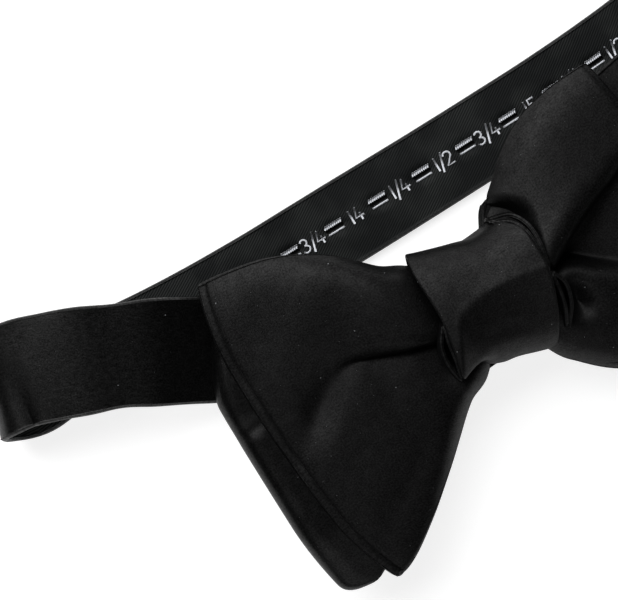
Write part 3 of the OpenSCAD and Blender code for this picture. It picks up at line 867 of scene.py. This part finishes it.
def tape():
    start = band_reach[tape_start] + 0.5
    marks = list(np.arange(start, band_reach[-1] - 0.4, 1.9))
    ends = [s + e * SLOT_L / 2 for s in slot_lengths for e in (-1, 1)]
    marks = [m for m in marks if min(abs(m - e) for e in ends) > 0.8] + ends
    lengths = np.array(sorted(marks))
    rows = at_length(stations, band_reach, lengths)
    half_slot = SLOT_W / 2 / (BAND_HALF * TAPE_SHARE)
    cells = np.array([-1, -0.95, -0.7, -0.35, -half_slot, half_slot, 0.35, 0.7, 0.95, 1.0])
    inner = rows.copy()
    inner[:, 3:6] *= -1
    offset = (TAPE_LIFT + inner[:, 7])[:, None, None]
    g = ribbon(inner, cells, crown=0.0, share=TAPE_SHARE) + inner[:, None, 3:6] * offset
    middle = (lengths[:-1] + lengths[1:]) / 2
    in_slot = np.array([min(abs(m - s) for s in slot_lengths) < SLOT_L / 2 for m in middle])
    cut = np.zeros((len(rows) - 1, len(cells) - 1), bool)
    cut[in_slot, len(cells) // 2 - 1] = True
    return g, cut


tape_grid, tape_holes = tape()
fabric("size_tape_twill", "size_tape", tape_grid, TAPE_T, (18.4, 308), "laid", ["neckband_left"],
       material=TWILL, slot="size_tape", holes=tape_holes, rim=[(0.3, 0.0)], subdivide=0)


def on_tape(s, x, y, lift):
    """Points on the tape's face: x along the numerals' line, y up it, in mm from length s."""
    rows = at_length(stations, band_reach, s + np.asarray(x, float))
    _, side = frames(at_length(stations, band_reach, np.array([s - 0.5, s + 0.5])))
    side = side[0]
    height = TAPE_LIFT + TAPE_T / 2 + rows[:, 7] + lift
    return rows[:, :3] - rows[:, 3:6] * height[:, None] - side * np.asarray(y, float)[:, None]


def arc(cx, cy, rx, ry, start, end, count=9):
    a = np.radians(np.linspace(start, end, count))
    return np.stack([cx + rx * np.cos(a), cy + ry * np.sin(a)], axis=1)


def line(*points):
    return np.array(points, float)


def joined(*paths):
    return np.concatenate(paths)


# Strokes of each numeral in a box one high, and its width: one thin line, as woven.
GLYPHS = {
    "1": ([line((0.06, 0), (0.06, 1))], 0.12),
    "2": ([joined(arc(0.3, 0.72, 0.28, 0.27, 165, -25), line((0.02, 0.03), (0.62, 0.03)))], 0.62),
    "3": ([joined(arc(0.28, 0.75, 0.26, 0.24, 150, -90, 8), arc(0.28, 0.26, 0.29, 0.25, 90, -150))], 0.58),
    "4": ([line((0.30, 1.0), (0.04, 0.30), (0.70, 0.30)), line((0.46, 0.52), (0.46, 0.0))], 0.70),
    "5": ([joined(line((0.56, 0.97), (0.10, 0.97), (0.08, 0.56)), arc(0.28, 0.31, 0.28, 0.29, 100, -150))],
          0.58),
    "6": ([joined(line((0.46, 1.0), (0.12, 0.55)), arc(0.31, 0.29, 0.27, 0.27, 160, -190, 12))], 0.60),
    "7": ([line((0.04, 0.97), (0.56, 0.97), (0.22, 0.0))], 0.58),
    "/": ([line((0.0, -0.22), (0.42, 1.14))], 0.40),
}


def label_text(k):
    quarters = round(4 * HOOK_LABEL) - k
    whole, part = divmod(quarters, 4)
    return {0: str(whole), 1: "1/4", 2: "1/2", 3: "3/4"}[part]


HOOK_LABEL = 16.75                                             # the label just before the hook's slot
NUMERAL_H, STROKE_W, STROKE_T = 3.3, 0.46, 0.16


def stroke_mesh(paths, width, height):
    """Flat rounded strips of thread along paths of 3-D points with a face normal each."""
    points, faces = [], []
    for path, up in paths:
        heading = unit(np.gradient(path, axis=0))
        side = unit(np.cross(up, heading))
        start = len(points)
        profile = [(-0.5, 0.0), (-0.42, 0.75), (0.0, 1.0), (0.42, 0.75), (0.5, 0.0)]
        caps = [path[0] - heading[0] * width * 0.35, path[-1] + heading[-1] * width * 0.35]
        for p, q, u in zip(path, side, up):
            points += [p + q * width * a + u * height * b for a, b in profile]
        k = len(profile)
        for i in range(len(path) - 1):
            for j in range(k - 1):
                a = start + i * k + j
                faces.append((a, a + 1, a + k + 1, a + k)[::-1])
            a = start + i * k
            faces.append((a, a + k, a + 2 * k - 1, a + k - 1)[::-1])
        for end, i, order in ((0, 0, 1), (1, len(path) - 1, -1)):
            tip = len(points)
            points.append(caps[end] + up[i] * height * 0.35)
            ring = [start + i * k + j for j in range(k)]
            for a, b in zip(ring, ring[1:] + ring[:1]):
                faces.append((tip, b, a)[::order])
    return np.array(points), faces


def tape_up(s, count):
    rows = at_length(stations, band_reach, np.full(count, float(s)))
    return -rows[:, 3:6]


def numerals():
    paths = []
    for s in label_lengths:
        k = round((hook_s - s) / SLOT_PITCH - 0.5)
        text = label_text(k)
        strokes, x = [], 0.0
        for c in text:
            parts, width = GLYPHS[c]
            strokes += [p + np.array([x, 0]) for p in parts]
            x += width + (0.16 if c != "/" else 0.04)
        for p in strokes:
            xy = (p - np.array([x / 2 - 0.06, 0.5])) * NUMERAL_H
            path = on_tape(s, xy[:, 0], xy[:, 1], 0.0)
            paths.append((path, tape_up(s, len(path))))
    points, faces = stroke_mesh(paths, STROKE_W, STROKE_T)
    piece = mesh_from("size_numerals_woven", points, faces, points[:, :2] * MM, WHITE, subdivide=0)
    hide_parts("size_numerals")


def slot_marks():
    """Above each slot a bar of slanting stitches, below it a thin line."""
    thick, thin = [], []
    for s in slot_lengths:
        if abs(s - hook_s) < 1:
            continue
        for x in np.linspace(-2.05, 2.05, 9):
            path = on_tape(s, np.array([x - 0.22, x + 0.22]), np.array([0.62, 1.42]), 0.0)
            thick.append((path, tape_up(s, 2)))
        path = on_tape(s, np.linspace(-2.1, 2.1, 6), np.full(6, -0.85), 0.0)
        thin.append((path, tape_up(s, 6)))
    a, fa = stroke_mesh(thick, 0.40, STROKE_T)
    b, fb = stroke_mesh(thin, 0.46, STROKE_T)
    points = np.concatenate([a, b])
    faces = fa + [tuple(i + len(a) for i in f) for f in fb]
    piece = mesh_from("slot_bars_woven", points, faces, points[:, :2] * MM, WHITE, subdivide=0)
    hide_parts("slot_bars")


numerals()
slot_marks()


# ---- fabric tabs round the fittings ----

def tab(name, node, centre, radius, path, width, thickness, flat):
    """A strip folded round a bar: path is its line (along the strap, up) before the turn, then after it."""
    before, after, degrees = path
    line_2d = list(before)
    for a in np.radians(np.linspace(*degrees, 13)):
        line_2d.append((radius * math.cos(a), radius * math.sin(a)))
    line_2d += after
    points = np.array([centre + ALONG * a + UP * b for a, b in line_2d])
    heading = unit(np.gradient(points, axis=0))
    nrm = unit(np.cross(heading, AXIS))
    rows = np.array([station(*p, q, width / 2) for p, q in zip(points, nrm)])
    g = ribbon(rows, np.array([-1, -0.94, -0.5, 0, 0.5, 0.94, 1.0]))
    fabric(name, node, g, thickness, flat, "folded", ["neckband_right", "slide_ring"], material=BAND_SATIN_PAINTED_SHADE)


tab("ring_tab_loop", "ring_tab", TAB_BAR, 1.5,
    ([(-8.0, 0.52), (-5, 0.54), (-2.6, 0.66), (-1.4, 1.15)],
     [(-1.4, -1.15), (-2.6, -0.66), (-5, -0.54), (-8.0, -0.52)], (110, -110)),
    20.6, 0.86, (20.8, 23))
tab("hook_tab_loop", "hook_tab", HOOK_BAR, 1.4,
    ([(-3.3, -0.28), (-2.2, -0.1), (-1.45, 0.5)], [(-1.2, -1.28), (-2.2, -1.2), (-3.3, -1.2)], (130, -110)),
    11.6, 0.8, (12, 13.5))


# ---- CAD nodes that stay, with their finishes ----

for names, material in (
    (("slide_ring", "t_hook"), NICKEL),
    (("ring_tab_stitching", "hook_tab_stitching"), BLACK_THREAD),
):
    for name in names:
        mesh = frame["nodes"][name].data
        mesh.materials.clear()
        mesh.materials.append(material)


# ---- floor, light and camera ----

FLOOR_HALF, FLOOR_GAP = 3.0, 0.0002                            # in metres


def floor():
    mesh = bpy.data.meshes.new("floor")
    corners = [(FLOOR_HALF * x, FLOOR_HALF * y, 0) for x, y in ((-1, -1), (1, -1), (1, 1), (-1, 1))]
    mesh.from_pydata(corners, [], [(0, 1, 2, 3)])
    paper = Nodes("white_paper")
    paper.link(paper.colour(paper.noise(paper.place("Object"), 30), (0.49, 0.49, 0.49), (0.51, 0.51, 0.51)),
               paper.shader.inputs["Base Color"])
    paper.set(Roughness=0.9, Specular_IOR_Level=0.1, Emission_Color=(1, 1, 1, 1), Emission_Strength=0.78)
    mesh.materials.append(paper.material)
    obj = bpy.data.objects.new("floor", mesh)
    obj.location = (0, 0, cad_bounds[0][2] - FLOOR_GAP)
    bpy.context.scene.collection.objects.link(obj)


def area_light(name, place, target, size, watts):
    data = bpy.data.lights.new(name, "AREA")
    data.shape = "RECTANGLE"
    data.size, data.size_y = size
    data.energy = watts
    obj = bpy.data.objects.new(name, data)
    obj.location = place
    obj.rotation_euler = Vector(target - place).to_track_quat("-Z", "Y").to_euler()
    bpy.context.scene.collection.objects.link(obj)


TURN = math.radians(-32)
IMAGE_UP = np.array([-math.sin(TURN), math.cos(TURN), 0])
IMAGE_RIGHT = np.array([math.cos(TURN), math.sin(TURN), 0])
CAMERA_H = 0.335
NADIR = np.array([-0.0335, 0.02095, 0.0])

floor()
area_light("key", NADIR + IMAGE_UP * 0.5 - IMAGE_RIGHT * 0.35 + UP * 0.5, NADIR, (0.9, 0.8), 10.0)
area_light("fill", NADIR - IMAGE_UP * 0.45 + UP * 0.45, NADIR, (0.6, 0.5), 0.9)

world = bpy.data.worlds.new("studio")
world.use_nodes = True
tree = world.node_tree
background = tree.nodes["Background"]
direction = tree.nodes.new("ShaderNodeTexCoord")
parts = tree.nodes.new("ShaderNodeSeparateXYZ")
fall = tree.nodes.new("ShaderNodeMapRange")
tree.links.new(direction.outputs["Generated"], parts.inputs[0])
tree.links.new(parts.outputs["Z"], fall.inputs["Value"])
for key, number in (("From Min", 0.2), ("From Max", 0.9), ("To Min", 0.50), ("To Max", 0.36)):
    fall.inputs[key].default_value = number
tree.links.new(fall.outputs[0], background.inputs["Strength"])
bpy.context.scene.world = world

camera = bpy.data.cameras.new("camera")
camera.sensor_width = 36
camera.lens = 82.9
camera.clip_start = 0.01
viewer = bpy.data.objects.new("camera", camera)
viewer.location = NADIR + UP * CAMERA_H
viewer.rotation_euler = (0, 0, TURN)
bpy.context.scene.collection.objects.link(viewer)
bpy.context.scene.camera = viewer
bpy.context.scene.view_settings.view_transform = "Standard"
